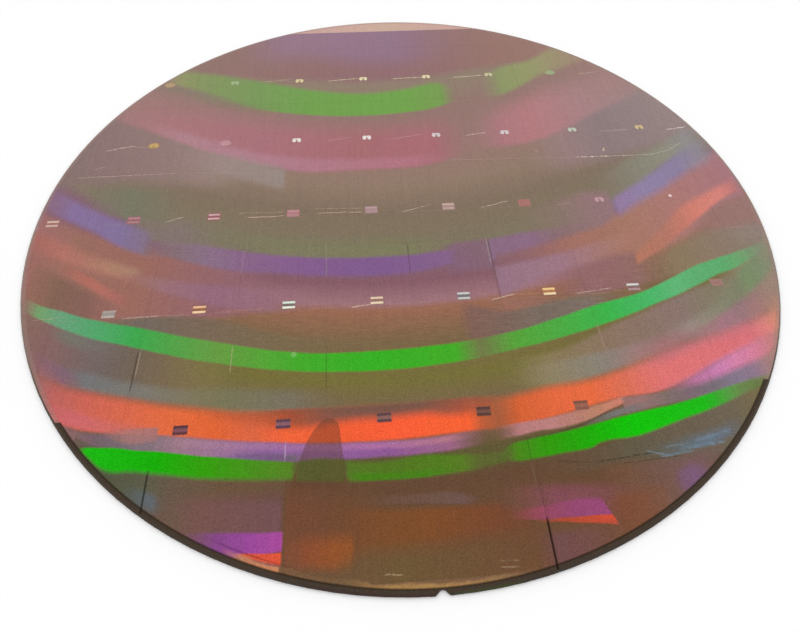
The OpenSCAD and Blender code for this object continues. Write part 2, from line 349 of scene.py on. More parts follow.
     [(-83, "cc666c", 0), (-76, "cf6870", 0.8), (-64, "c6706c", 0.5), (-56, "c0746c", 0)]),
    ("lilac", 1.4, 1, [(-82, -59, -62.5), (-74, -62.6, -66), (-66, -64, -67.2), (-54, -65.3, -69.3),
      (-33, -68.5, -72.2), (-10, -69.9, -73), (5, -69.3, -72.5), (14, -67.8, -71)],
     [(-82, "946a65", 0.6), (-75, "8c6868", 0.9), (-70, "79626c", 0.9), (-64, "766a70"), (-58, "84727a"),
      (-52, "9a7886"), (-42, "9c7296"), (-33, "90659a"), (-8, "8f5a94"), (5, "9c6684"), (14, "805b4e", 0)]),
    ("violet_under_lilac", 1.2, 0.8, [(-46, -70, -70.8), (-36, -70.4, -72), (-24, -71.4, -72.8)],
     [(-46, "8a6890", 0), (-38, "745c82", 0.8), (-31, "705a78", 0.8), (-28, "70626c", 0.9),
      (-24, "705a70", 0)]),
    ("lilac_top", 1, 1, [(-56, -65.2, -67), (-33, -68.3, -69.8), (-10, -69.7, -71.2), (5, -69.2, -70.6),
      (11, -68.2, -69.4)],
     [(-56, "b0828c", 0), (-46, "a67e96", 0.8), (-30, "a270a0", 0.8), (-10, "ae70a2", 0.9),
      (5, "b47886", 0.9), (11, "906a64", 0)]),
    ("grey_smear", 0.6, 1.2, [(-69, -63.2, -64), (-64, -63.1, -66), (-56.5, -63, -66.2)],
     [(-69, "b07470", 0), (-63, "a87672", 0.8), (-57, "a47473", 0.9), (-56.5, "c07058", 0)]),
    ("salmon_right", 0.8, 0.8, [(14, -67.8, -71), (20, -67.4, -70.2), (24.5, -66.9, -69.4),
      (28, -66.4, -69.2), (35, -64.9, -67.8), (40, -63.9, -66), (44.6, -62.7, -64.2)],
     [(14, "7c5a4e", 0), (20, "b67c7c"), (27, "bc827e"), (33, "b47e70"), (38, "ba8369"), (44.2, "d08070"),
      (44.6, "b87c70", 0)]),
    ("dark_line_right", 0.3, 0.3, [(18, -71.2, -71.5), (25, -70.5, -70.8), (31, -69.2, -69.6),
      (36, -67.6, -68), (41, -65.5, -65.9), (45, -63.9, -64.2)],
     [(18, "4a3a34", 0), (24, "4a3a34", 0.55), (40, "4c4038", 0.65), (45, "5a4a44", 0)]),
    ("brown_right", 1, 1, [(44, -63, -66.5), (53, -62.2, -65.4), (57, -61.4, -64.8), (68, -58.6, -62.6),
      (76, -56.2, -60.6), (84, -53, -58)],
     [(44, "a07470", 0.8), (49, "987270"), (54, "7e6e68"), (60, "7c6870"), (66, "796e76"), (72, "85778a"),
      (77, "90768a"), (80, "a07e80"), (84, "b08078", 0.6)]),
    ("slate_right", 0.8, 0.8, [(33, -68.8, -69.2), (38, -67.2, -68.2), (42, -65.8, -67.2),
      (47, -64.6, -66.4), (53, -63.6, -65)],
     [(33, "6a6458", 0), (38, "706e68", 0.9), (42, "7b7674"), (46, "7c7472", 0.9), (53, "806a68", 0)]),
    ("lilac_right", 2.4, 2.2, [(49, -61.6, -62.2), (58, -60, -61.4), (66, -56.6, -59.7), (74, -53, -57),
      (80, -50.4, -54.8), (88, -46, -50)],
     [(49, "b8746c", 0), (56, "b87688", 0.4), (62, "bc759d", 0.95), (68, "c67eac"), (74, "d583a8"),
      (79, "d47f98"), (84, "cc7e84", 0.8), (88, "c88478", 0)]),
    ("brown_low_right", 1, 3, [(36, -72.5, -79), (50, -70.5, -80), (66, -65, -76), (80, -61.5, -66)],
     [(36, "675a46", 0), (48, "695b4a"), (66, "6e6353"), (80, "7c7048")]),
    ("olive_under_green", 1, 3, [(22, -75.8, -78), (32, -74.4, -79), (44, -72.4, -76.5), (52, -70.4, -73)],
     [(22, "66533f", 0), (32, "665240", 0.8), (42, "625a46", 0.9), (52, "666252", 0)]),
    ("brown_far_low", 3, 3, [(34, -78, -92), (46, -77.6, -90), (56, -76.6, -84), (64, -74, -78)],
     [(34, "74503f", 0), (40, "73533f", 0.9), (56, "7a5c5c", 0.9), (64, "74605c", 0)]),
    ("slate_left", 1, 3, [(-74, -64, -72), (-66, -68, -77), (-54, -71, -81), (-42, -72.5, -80),
      (-29.4, -74, -79)],
     [(-74, "5c5644", 0.6), (-66, "555642"), (-58, "5b5b48"), (-52, "68594a", 0.9), (-42, "6c5642", 0.8),
      (-29.4, "6e5644", 0.6)]),
    ("green_left", 0.6, 1.6, [(-73, -66.7, -67), (-71, -66.7, -68.3), (-67.5, -67, -71.2),
      (-65, -67.2, -72.4), (-61, -67.9, -72.6), (-54, -69, -73.8), (-45, -70.5, -75.2), (-35, -71.9, -76),
      (-26.5, -72.9, -76.6)],
     [(-73, "3c9a24", 0), (-71, "1db815"), (-56, "1aac0b"), (-44, "3a9b13"), (-28.5, "588228"),
      (-26.5, "585a32", 0)]),
    ("green_centre", 1.2, 1.2, [(-18.2, -73.2, -76), (-16, -73.6, -77.8), (-10, -74.1, -77.8),
      (-2, -73.3, -77.7), (6.5, -73.5, -77.2), (16, -73.5, -75.8)],
     [(-18.2, "585a32", 0), (-16.5, "587429"), (-6, "547624"), (2, "537c22"), (7, "597a27"),
      (11, "5c6c30", 0.6), (16, "566c2c", 0.7)]),
    ("green_low_edge", 1.4, 0.6, [(-17.8, -75.2, -76.2), (-14, -76.2, -77.8), (-4, -76.6, -78),
      (6, -76, -77.4)],
     [(-17.8, "508a20", 0), (-14, "408614", 0.7), (0, "44841a", 0.7), (6, "4c7c22", 0)]),
    ("green_right", 0.8, 1, [(15.5, -73, -75.6), (18.5, -71.8, -75.8), (22, -71.2, -75.6),
      (28, -70.3, -74.8), (34, -69.2, -74.1), (37, -68.6, -72.8), (46, -66.9, -71.8), (56, -65.2, -68.9),
      (63, -63.4, -66.8), (66, -62.6, -65.9), (70, -61.6, -64.4), (75, -60.3, -62.8), (80, -59.2, -61.2)],
     [(15.5, "566c2c", 0.4), (18.5, "4c841e"), (21, "448e1c"), (24.5, "359812"), (34, "23a80e"),
      (44, "14c20b"), (62, "20b81a"), (65, "32ac2a"), (68.5, "579c46", 0.95), (72, "6c8a50", 0.9),
      (76, "6a8248", 0.8), (80, "7a8850", 0.4)]),
    ("violet_brown_left", 4, 3, [(-58, -78, -90), (-44, -79, -93), (-29.2, -80, -95)],
     [(-58, "64584c", 0), (-52, "6c584c", 0.9), (-46, "77544e"), (-30.2, "745254"), (-29.2, "6e4a3a", 0)]),
    ("brown_low_middle", 2, 6, [(-19, -83, -93), (12, -84.4, -90), (21, -85, -90)],
     [(-19, "6e4a36", 0), (-14, "7c4e2d", 0.8), (0, "7f4e2d"), (12, "7a4830", 0.9), (18, "784631", 0.5),
      (21, "744834", 0)]),
    ("grey_low_middle", 1, 0.6, [(-15, -81.2, -82.4), (-5, -81.1, -82.9), (2, -81.1, -83.5),
      (7, -81.9, -83.8), (10, -83, -83.6)],
     [(-15, "70554a", 0), (-8, "715347", 0.6), (0, "70564c", 0.7), (6, "725856", 0.7), (10, "6e5048", 0)]),
    ("violet_block", 0.8, 0.5, [(-49, -85.6, -88.2), (-42, -86, -90.4), (-29.2, -86.8, -90.2)],
     [(-49, "7c5078", 0), (-42, "88488c", 0.9), (-36, "984a98"), (-29.7, "a84c9a"), (-29.2, "80493a", 0)]),
    ("red_block", 0.3, 0.4, [(-38.5, -90, -90.3), (-29.3, -90.5, -92.8)],
     [(-38.5, "c85848", 0), (-36.5, "d05440"), (-29.8, "e0583c"), (-29.3, "824832", 0)]),
    ("wine_brown_right", 3, 3, [(12, -80.6, -86), (24, -81.4, -87), (44, -82, -88)],
     [(12, "70503f", 0), (19, "7a4e48", 0.9), (25, "824d56"), (34, "804f50", 0.9), (44, "7c5244", 0)]),
    ("rust_low_right", 3, 4, [(33, -85, -92), (40, -83.6, -91), (49, -82.4, -88)],
     [(33, "7c4c38", 0), (37, "7e4c36", 0.8), (42, "7e513c", 0.9), (46, "7e5745", 0.8), (49, "7a5a4a", 0)]),
    ("magenta_block", 1.2, 0.4, [(14.5, -86.2, -87.2), (20, -85.4, -87.8), (26, -84.7, -88),
      (33.1, -84.6, -88), (33.6, -84.9, -88), (34.3, -86.6, -88), (34.9, -88, -88)],
     [(14.5, "844a44", 0), (17.5, "8c4a4c", 0.8), (21, "964b5e"), (28, "934a70"), (34.9, "9a4c78")]),
    ("red_sliver", 0.25, 0.4, [(19, -87.9, -88.1), (27, -87.9, -88.9), (34.5, -87.8, -89.6),
      (34.9, -87.9, -89.7), (35.6, -89.8, -89.7)],
     [(19, "94483c", 0), (24, "a84c38"), (30, "bc4e36"), (35.6, "d8523a")]),
    ("violet_low_right", 2.5, 2, [(48.6, -81.4, -84), (53, -79.4, -84), (58, -79.4, -82)],
     [(48.6, "77564c", 0), (51, "7a5a72", 0.8), (54, "7b5b79"), (56, "7a5c70", 0.8), (58, "7a5e66", 0)]),
    ("blue_haze_right", 3, 1.2, [(40, -75, -76), (50, -74.2, -76.8), (56, -73.2, -75.6), (60, -72.6, -75),
      (66, -70.4, -73), (70, -68.5, -71)],
     [(40, "64604e", 0), (48, "625f55", 0.7), (54, "636c70", 0.9), (60, "667482"), (65, "686c74", 0.8),
      (70, "6c665c", 0)]),
    ("blue_left", 2, 2, [(-62, -75.4, -78), (-57, -77, -80.4), (-53, -79.5, -82.4)],
     [(-62, "5c6468", 0), (-58.5, "5c6669", 0.6), (-55.5, "606c78", 0.7), (-53, "665f5c", 0)]),
    # Painted shadow: a dull wedge where something off the wafer blocks the light, and the green band dulled
    # inside that shadow
    ("painted_shadow_wedge", 0.6, 3, [(-28.4, -78, -79), (-27.2, -74, -79), (-26.1, -70.6, -79), (-24.6, -67.3, -79),
      (-22.9, -64.8, -79), (-20.6, -63.4, -79), (-18.6, -64.8, -79), (-17.8, -71, -79), (-17.2, -76.6, -79)],
     [(-28.4, "62422f", 0.54), (-17.2, "62422f", 0.54)]),
    ("green_in_painted_shadow", 1.2, 1, [(-27.6, -72.6, -77), (-22, -72.4, -77.4), (-17, -73, -77.8)],
     [(-27.6, "5a6a2e", 0), (-26.6, "575c2f", 0.9), (-17.8, "5a5a2f", 0.9), (-17, "5a5a2f", 0)]),
    # Painted shadow below that wedge: brown and orange-brown where the shade goes on down to the rim
    ("brown_painted_shadow_low", 7, 3, [(-29.3, -79, -97), (-9, -82, -97)],
     [(-29.3, "724a36", 0), (-28.9, "744a36", 0.9), (-22, "724a36", 0.9), (-16, "764b30", 0.6),
      (-9, "7c4d33", 0)]),
    ("orange_brown_painted_shadow_low", 4, 2, [(-29, -88.4, -93), (-22, -88.4, -94.2), (-15.4, -88.6, -94.8)],
     [(-29, "84503a", 0.5), (-25, "8b4e33", 0.9), (-20, "92532e"), (-16.4, "92542e", 0.9),
      (-15.4, "74502f", 0)]),
    ("olive_low", 5, 3, [(-30, -93.4, -98.5), (-20, -94.2, -98.5), (-13, -91.4, -98.5), (20, -90.4, -98.5)],
     [(-30, "6e5640", 0.8), (-18, "6c553c", 0.9), (-6, "6e5839", 0.8), (10, "6e5138", 0.8),
      (20, "704c38", 0)]),
    ("violet_brown_right", 3, 3, [(18, -90.5, -98), (30, -90, -97), (40, -88, -94)],
     [(18, "704a40", 0), (23, "734e50", 0.9), (30, "744e48", 0.9), (36, "74503e", 0.5), (40, "7a523f", 0)]),
]

# Marks of the upper rows of fields, by row: column, colour of the two spots and of the blob
SPOTS = {
    2: [(-4, None, "b49874"), (-3, "a4b48a", None), (-2, "dccb9a", None), (-1, "e2d8aa", None),
        (0, "e2d8aa", None), (1, "c8c69a", None), (2, None, "98a87c")],
    1: [(-4, "c4a46c", "b08c5c"), (-3, None, "be9096"), (-2, "e4dcd6", None), (-1, "e6deda", None),
        (0, "d4c8c8", None), (1, "d4caca", None), (2, "bcc4b4", None), (3, "d0b68a", None)],
    0: [(2, "c0989e", None)],
}

# Marks of the lower rows, by row: column, colours of the upper and lower bar and of the ground
BARS = {
    0: [(-5, "d4b8ac", "ccb0a4", "a4706a"), (-4, "b88488", "b48084", "986a70"),
        (-3, "ccaca8", "ccaca8", "9c6066"), (-2, "bc8e90", "b48486", "b07c80"),
        (-1, "b8989a", "b09092", "a88a8a"), (0, "c8aca4", "bca098", "a88c84"), (1, None, None, "a8746c")],
    -1: [(-4, "aca09a", "b8aca4", "9c908a"), (-3, "eabc90", "eecea4", "9a6650"),
         (-2, "dce8d8", "e8ecd8", "7c6c6c"), (-1, "e0c8ac", "e6d2b4", "987068"),
         (0, "c8c8c8", "c4c4c4", "7a7270"), (1, "eec88c", "f0d8b0", "b07a56"),
         (2, "d4d4d2", "b49694", "8a6a68"), (3, "a27c74", "a07a72", "9e7870")],
    -2: [(-3, "5c3a40", "643c40", "80525a"), (-2, "604450", "604450", "8a5e68"),
         (-1, "5c4448", "5c4448", "8c625c"), (0, "5a423c", "5a403a", "785248"),
         (1, "805448", "8a5c50", "9c6654")],
}

# Seams along some streets: x, top, bottom, width, strength and colour
SEAMS = [
    (-64.6, -44, -54, 0.4, 0.4, "2a2018"), (-64.1, -43.5, -50, 0.3, 0.4, "b0a08c"),
    (-57.3, -73, -84, 0.4, 0.7, "1e1814"), (-43, -43.5, -50.5, 0.3, 0.4, "b8b088"),
    (-42.9, -13.5, -21.5, 0.3, 0.25, "b09aa8"), (-29.7, -68.6, -72, 0.3, 0.6, "b8a0bc"),
    (-21.2, -46.5, -56, 0.3, 0.3, "3a3018"), (-21.2, -12, -24, 0.3, 0.25, "b0a090"),
    (0.3, -14, -24, 0.35, 0.4, "4a3a44"), (22, -14, -33, 0.4, 0.3, "4a3a3c"),
    (21.6, -13.5, -22, 0.3, 0.4, "b8a4a8"), (44, -43, -50, 0.3, 0.35, "b0a08c"),
    (21.2, -71, -77, 0.3, 0.3, "2a2018"), (21.1, -76, -80.5, 0.35, 0.15, "8a7c70"),
    (21.8, -80, -87, 0.3, 0.25, "2a2018"), (21.8, -87.5, -99.5, 0.45, 0.85, "1e1612"),
]

# Painted light in fine strokes on the face: painted glints as pale lines along streets and rows, and dark
# and blue flecks of painted diffraction colour at lower right. Both ends, width, strength and colour
GLINTS_AND_FLECKS = [
    (-42, 63.1, -33.7, 63.9, 0.28, 0.5, "c8c498"), (-20.5, 62.3, -10.2, 63.2, 0.32, 0.8, "dcd0a8"),
    (1.4, 62.3, 12, 62.8, 0.32, 0.9, "dcd0a8"), (22.1, 61.9, 33, 62.7, 0.32, 0.8, "d8ccb0"),
    (66, 61.6, 74, 62.5, 0.28, 0.6, "ccb4a0"), (-87.3, 29.5, -80.3, 31.4, 0.32, 0.8, "d4c4ba"),
    (-80.3, 31.3, -75.6, 30.1, 0.28, 0.4, "ccb8ae"), (-20.4, 30.4, -13.9, 31.7, 0.28, 0.5, "c8a8a8"),
    (-1.2, 30, 8, 31.6, 0.28, 0.5, "ccacb0"), (22.3, 30.3, 28.5, 31.4, 0.3, 0.7, "d8bcb8"),
    (65.1, 29.9, 73.9, 30.2, 0.28, 0.5, "c8b8b0"), (86.8, 29.4, 92.5, 30.3, 0.34, 0.9, "e0d8cc"),
    (-89, 21.2, -86, 22.4, 0.28, 0.5, "c8b4a8"), (-93, 17.8, -75.5, 18, 0.32, 0.6, "bca89c"),
    (-75.5, 18, -65.5, 18.2, 0.28, 0.5, "bca898"), (-65.5, 18.2, -49.5, 17.7, 0.28, 0.25, "b4a090"),
    (14.4, 19.1, 54, 18, 0.28, 0.35, "b4a098"), (54, 18, 77.3, 17.8, 0.3, 0.75, "c4b4a6"),
    (77.3, 17.8, 83.5, 19.5, 0.32, 0.7, "c4b8a4"), (83.5, 19.5, 88.5, 22.8, 0.36, 0.6, "bcb6a0"),
    (-64.9, -1.8, -60.5, -0.3, 0.3, 0.7, "c8b4a4"), (-45.4, 0.4, -33, 0, 0.28, 0.6, "b49c88"),
    (-43.3, -1.5, -33, -1.5, 0.3, 0.85, "c8aa98"), (-24.1, 0.8, -11.3, 0.2, 0.28, 0.6, "b49c88"),
    (-23.8, -0.9, -11.3, -1.3, 0.3, 0.75, "c4a690"), (-0.5, -2, 7.9, 0.4, 0.28, 0.65, "c8b0a0"),
    (22.1, -1.7, 29.9, 0.4, 0.28, 0.7, "ccb8a6"), (43.8, -1.9, 47.7, -1.3, 0.28, 0.5, "b49c98"),
    (88, -13.6, 96, -13.8, 0.28, 0.4, "b89890"), (-70, -33.9, -61.5, -33.5, 0.34, 0.7, "c0a098"),
    (-61.5, -33.5, -54.5, -33.8, 0.3, 0.5, "b08c80"), (-47, -33.5, -36, -33.1, 0.28, 0.5, "b88868"),
    (-15, -34, -9.5, -33.4, 0.34, 0.8, "d0b49c"), (20, -34, 26, -32.6, 0.28, 0.75, "d0b8a0"),
    (26, -32.6, 31.5, -32.9, 0.28, 0.5, "b89888"), (41.5, -33.4, 50.5, -32.3, 0.28, 0.6, "c8b4a6"),
    (-92, -33, -84, -32.6, 0.28, 0.4, "b8a090"), (-10.3, -95.7, -7.3, -95.9, 0.3, 0.5, "c0a480"),
    (11.5, -94.8, 14.6, -95, 0.28, 0.35, "b49c80"), (11.4, -95.9, 14.4, -96.1, 0.28, 0.35, "b49c80"),
    (26, -76.3, 34, -77.2, 0.3, 0.4, "46382a"), (34, -77.2, 48, -75.8, 0.4, 0.6, "42382a"),
    (40, -77.8, 52, -77.1, 0.3, 0.5, "4a3c30"), (45.8, -75.6, 50.6, -76.8, 0.5, 0.5, "7c8c94"),
    (48.5, -76.8, 55.5, -76.1, 0.6, 0.6, "70838e"), (53.5, -75.4, 63, -74.6, 0.7, 0.6, "74899a"),
    (57, -73.9, 65, -72, 0.7, 0.5, "75899a"), (50, -74.8, 55, -74.4, 0.4, 0.5, "72828c"),
]

# Painted glints as bright specks: place, size, strength and colour
GLINT_SPECKS = [
    (77.2, -0.3, 0.5, 0.9, "ecdcd8"), (63.9, 21.5, 0.4, 0.6, "dcb488"), (63.6, 20.7, 0.35, 0.7, "e8d8c4"),
    (42.8, 21.8, 0.35, 0.4, "d0a8a8"), (56.2, 18.1, 0.35, 0.5, "e0ccac"), (57.3, 18.1, 0.3, 0.4, "dcc8a8"),
    (59.3, 17.9, 0.35, 0.6, "e8d8bc"), (62.1, 18, 0.3, 0.4, "dcc8a8"), (63.6, 17.9, 0.35, 0.6, "e4d4b4"),
    (69, 17.8, 0.35, 0.4, "dcccb4"), (-28.7, -46.8, 0.7, 0.25, "b8d8a0"),
]


def srgb(code):
    """Linear colour of a six-digit sRGB code."""
    parts = [int(code[k:k + 2], 16) / 255 for k in (0, 2, 4)]
    return tuple(c / 12.92 if c <= 0.04045 else ((c + 0.055) / 1.055) ** 2.4 for c in parts)


def level_of(x, y):
    """Level of the arc through a point of the face."""
    return ARC_Y - math.hypot(x - ARC_X, y - ARC_Y)


def share(level):
    """Place of a level between the lowest and the highest, from 0 to 1."""
    return 0.5 + level / (2 * SPAN)


class Tree:
    """Adds shader nodes to a node tree and links what they are given."""

    def __init__(self, node_tree):
        self.nodes = node_tree.nodes
        self.links = node_tree.links
        self.nodes.clear()

    def feed(self, socket, value):
        if isinstance(value, bpy.types.NodeSocket):
            self.links.new(value, socket)
        elif isinstance(value, str):
            socket.default_value = (*srgb(value), 1)
        else:
            socket.default_value = value

    def node(self, kind, inputs=None, **settings):
        """A new node with these settings, its inputs fed by number or by name."""
        node = self.nodes.new(kind)
        for name, value in settings.items():
            setattr(node, name, value)
        for key, value in (inputs or {}).items():
            self.feed(node.inputs[key], value)
        return node

    def math(self, operation, *values):
        return self.node("ShaderNodeMath", dict(enumerate(values)), operation=operation).outputs[0]

    def times(self, first, *others):
        for other in others:
            first = self.math("MULTIPLY", first, other)
        return first

    def minus(self, first, second):
        return self.math("SUBTRACT", first, second)

    def scaled(self, value, factor, added):
        return self.math("MULTIPLY_ADD", value, factor, added)

    def squares(self, first, second):
        """Sum of the squares of two values."""
        return self.math("ADD", self.times(first, first), self.times(second, second))

    def rise(self, value, low, high):
        """0 below low and 1 above high, smoothly, or the other way round when low is the larger."""
        inputs = {"Value": value, "From Min": low, "From Max": high}
        node = self.node("ShaderNodeMapRange", inputs, interpolation_type="SMOOTHSTEP", clamp=False)
        return node.outputs["Result"]

    def between(self, value, low, high, soft):
        return self.times(self.rise(value, low - soft / 2, low + soft / 2),
                          self.rise(value, high + soft / 2, high - soft / 2))

    def line(self, value, middle, width):
        """1 on a thin line where value equals middle."""
        away = self.math("ABSOLUTE", self.minus(value, middle))
        return self.rise(away, *(part * width for part in LINE_FADE))

    def along(self, x, first, last):
        """Share of the way that x has gone from first to last."""
        return self.scaled(x, 1 / (last - first), first / (first - last))

    def ramp(self, value, stops, constant=False):
        """Colour and strength along value. A stop has a place, a colour code and a strength or 1."""
        node = self.node("ShaderNodeValToRGB", {"Fac": value})
        node.color_ramp.interpolation = "CONSTANT" if constant else "LINEAR"
        elements = node.color_ramp.elements
        while len(elements) < len(stops):
            elements.new(1.0)
        for element, (place, code, *strength) in zip(elements, stops):
            element.position = place
            element.color = (*srgb(code), *(strength or [1]))
        return node.outputs["Color"], node.outputs["Alpha"]

    def curve(self, value, points):
        node = self.node("ShaderNodeFloatCurve", {"Value": value})
        node.mapping.extend = "HORIZONTAL"
        line = node.mapping.curves[0]
        while len(line.points) < len(points):
            line.points.new(1.0, 1.0)
        for point, place in zip(line.points, points):
            point.location = place
            point.handle_type = "AUTO_CLAMPED"
        node.mapping.update()
        return node.outputs[0]

    def mix(self, amount, under, over):
        """One colour over another: a Mix node has its colours at 6 and 7 and their mix at 2."""
        return self.node("ShaderNodeMix", {0: amount, 6: under, 7: over}, data_type="RGBA").outputs[2]

    def shade(self, color, value):
        return self.node("ShaderNodeHueSaturation", {"Color": color, "Value": value}).outputs["Color"]

    def noise(self, vector, scale, detail=2.0, roughness=0.5):
        inputs = {"Vector": vector, "Scale": scale, "Detail": detail, "Roughness": roughness}
        return self.node("ShaderNodeTexNoise", inputs).outputs["Fac"]

    def stretched(self, vector, scale):
        return self.node("ShaderNodeVectorMath", {0: vector, 1: scale}, operation="MULTIPLY").outputs[0]

    def place(self):
        """Place on the object in millimetres, with its x and y."""
        spot = self.stretched(self.node("ShaderNodeTexCoord").outputs["Object"], (1 / MM,) * 3)
        split = self.node("ShaderNodeSeparateXYZ", {0: spot})
        return spot, split.outputs["X"], split.outputs["Y"]

    def use(self, group, **values):
        return self.node("ShaderNodeGroup", values, node_tree=group.group).outputs["Color"]

    def surface(self, color, metallic, roughness, flat=False):
        inputs = {"Base Color": color, "Metallic": metallic, "Roughness": roughness}
        if flat:
            inputs["Normal"] = self.node("ShaderNodeNewGeometry").outputs["True Normal"]
        shader = self.node("ShaderNodeBsdfPrincipled", inputs)
        self.node("ShaderNodeOutputMaterial", {"Surface": shader.outputs["BSDF"]})


class Material(Tree):
    def __init__(self, name):
        self.material = bpy.data.materials.new(name)
        self.material.use_nodes = True
        super().__init__(self.material.node_tree)


class Group(Tree):
    """A node group that is given some numbers and a colour, and lays something over that colour."""

    def __init__(self, name, *numbers):
        self.group = bpy.data.node_groups.new(name, "ShaderNodeTree")
        super().__init__(self.group)
        for number in numbers:
            self.group.interface.new_socket(number, in_out="INPUT", socket_type="NodeSocketFloat")
        self.group.interface.new_socket("under", in_out="INPUT", socket_type="NodeSocketColor")
        self.group.interface.new_socket("Color", in_out="OUTPUT", socket_type="NodeSocketColor")
        outputs = self.node("NodeGroupInput").outputs
        self.given = [outputs[name] for name in (*numbers, "under")]

    def done(self, color):
        self.node("NodeGroupOutput", {"Color": color})
        return self


def shares(stops, first, last):
    """The same stops, each x as its share of the way from first to last."""
    return [((x - first) / (last - first), *rest) for x, *rest in stops]


def band(name, upper_soft, lower_soft, edges, colors):
    """One soft-edged band along the arcs: painted diffraction colour, and in a few bands painted shadow."""
    tree = Group(name, "x", "level")
    across, level, under = tree.given
    first, last = edges[0][0], edges[-1][0]
    along = tree.along(across, first, last)
    tops = [(x, share(level_of(x, top))) for x, top, _ in edges]
    feet = [(x, share(level_of(x, foot))) for x, _, foot in edges]
    upper = tree.curve(along, shares(tops, first, last))
    lower = tree.curve(along, shares(feet, first, last))
    half_up = share(upper_soft / 2) - share(0)
    half_low = share(lower_soft / 2) - share(0)
    below = tree.rise(tree.minus(upper, level), -half_up, half_up)
    above = tree.rise(tree.minus(level, lower), -half_low, half_low)
    color, strength = tree.ramp(along, shares(colors, first, last))
    within = tree.math("COMPARE", along, 0.5, 0.5)
    amount = tree.times(below, above, strength, within)
    return tree.done(tree.mix(amount, under, color))


def unprinted():
    """Bare silicon above and below the print, and the ring round it."""
    tree = Group("unprinted", "x", "y", "radius", "wobble")
    x, y, radius, wobble, under = tree.given
    tans = [(0, "c8a098"), (0.5, "c9a997"), (1, "c8a098")]
    tan, _ = tree.ramp(tree.rise(x, -TAN_REACH, TAN_REACH), tans)
    above = tree.rise(y, PRINT_TOP - EDGE / 2, PRINT_TOP + EDGE / 2)
    below = tree.rise(y, PRINT_LOW + EDGE / 2, PRINT_LOW - EDGE / 2)
    color = tree.mix(above, under, tan)
    color = tree.mix(below, color, "7a5c44")
    low = tree.rise(y, *GLOW_GROW)
    stretch = tree.between(x, *HAIR_STRETCH)
    hairline = tree.times(tree.line(radius, HAIR_R, HAIR_W), low, stretch, HAIR_STRENGTH)
    color = tree.mix(hairline, color, "2c2018")
    first, last = GLOW[0][0], GLOW[-1][0]
    glow, strength = tree.ramp(tree.along(x, first, last), shares(GLOW, first, last))
    waved = tree.scaled(wobble, GLOW_WAVES, radius)
    amount = tree.times(tree.between(waved, *GLOW_RADII), strength, low)
    color = tree.mix(amount, color, glow)
    shade = tree.rise(y, RING_CUT + EDGE, RING_CUT - EDGE)
    ring = tree.mix(shade, "98807a", "463b31")
    cover = tree.scaled(shade, 1 - RING_COVER, RING_COVER)
    outside = tree.rise(radius, PRINT_R - EDGE / 2, PRINT_R + EDGE / 2)
    color = tree.mix(tree.times(outside, cover), color, ring)
    border = tree.times(tree.line(radius, PRINT_R, BORDER_W), shade, BORDER_STRENGTH)
    return tree.done(tree.mix(border, color, "211b12"))


def streets():
    """Faint lines between the fields, painted glints and diffraction flecks as fine broken strokes, and
    painted glints as bright specks.
    """
    tree = Group("streets", "x", "y", "patchy", "shake", "broken")
    x, y, patchy, shake, broken, under = tree.given
    from_column = tree.math("PINGPONG", tree.minus(x, FIELD_X), FIELD_W / 2)
    column_line = tree.times(tree.line(from_column, 0, 2 * STREET_W), patchy, COLUMN_STRENGTH)
    color = tree.mix(column_line, under, "5a4a42")
    from_row = tree.math("PINGPONG", tree.minus(y, FIELD_Y), FIELD_H / 2)
    upper_rows = tree.rise(y, *ROW_FADE)
    row_line = tree.times(tree.line(from_row, 0, 2 * STREET_W), patchy, upper_rows, ROW_STRENGTH)
    color = tree.mix(row_line, color, "b8a094")
    shaken = tree.scaled(shake, SHAKE, tree.minus(y, SHAKE / 2))
    for left, left_y, right, right_y, width, strength, code in GLINTS_AND_FLECKS:
        slope = (right_y - left_y) / (right - left)
        height = tree.scaled(x, -slope, shaken)
        light_stroke = tree.line(height, left_y - slope * left, width)
        amount = tree.times(light_stroke, tree.between(x, left, right, GLINT_AND_FLECK_FADE))
        color = tree.mix(tree.times(amount, broken, strength), color, code)
    for middle_x, middle_y, size, strength, code in GLINT_SPECKS:
        across = tree.minus(x, middle_x)
        up = tree.minus(y, middle_y)
        glint_speck = tree.rise(tree.squares(across, up), *(part * size ** 2 for part in GLINT_SPECK_FADE))
        color = tree.mix(tree.times(glint_speck, strength), color, code)
    return tree.done(color)


def by_column(items, part):
    """Stops that give each column of fields its own colour."""
    stops = [(0, "000000", 0)]
    for item in items:
        stops.append((item[0] / COLUMNS + 0.5, item[part] or "000000", 1 if item[part] else 0))
    stops.append(((items[-1][0] + 1) / COLUMNS + 0.5, "000000", 0))
    return stops


